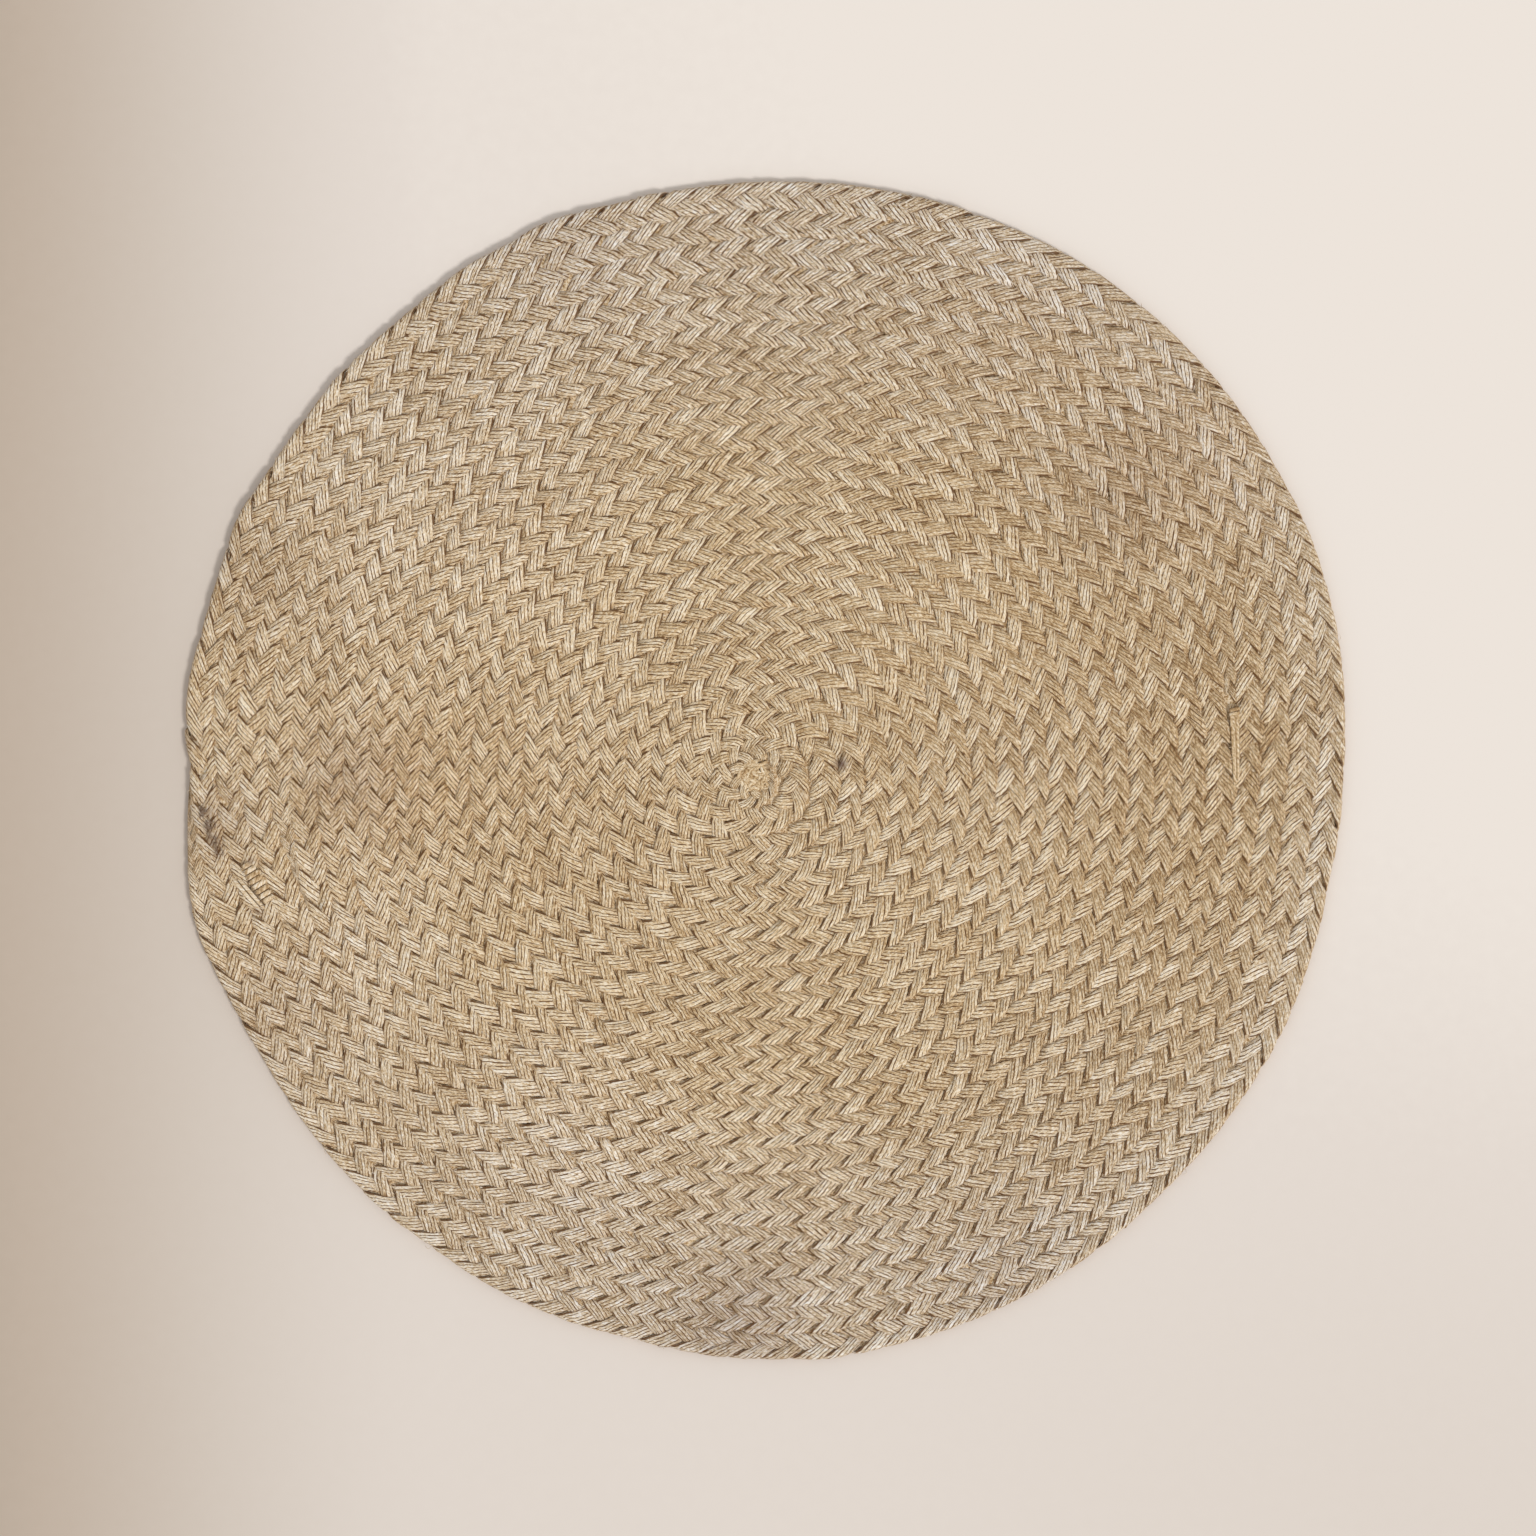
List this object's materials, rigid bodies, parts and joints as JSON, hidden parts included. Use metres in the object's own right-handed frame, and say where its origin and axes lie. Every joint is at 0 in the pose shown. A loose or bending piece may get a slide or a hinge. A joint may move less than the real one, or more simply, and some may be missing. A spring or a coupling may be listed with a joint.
{
  "type": "round braided jute rug",
  "caption": "Round floor rug of flat braided jute, coiled out from the middle and sewn edge to edge, lying flat with a slightly uneven edge.",
  "frame": {"origin": "middle of the rug's outline, on the floor that it lies on", "axes": "+Z up out of the rug's face; seen from above, +X to the right and +Y up, with the braid's outer tail on the -X side"},
  "size_m": [0.8922, 0.9076, 0.0101],
  "materials": {
    "jute": "undyed jute yarn in a flat three-strand braid, matt and coarse"
  },
  "bodies": {
    "root": {"braided_coil": "jute"}
  },
  "joints": []
}
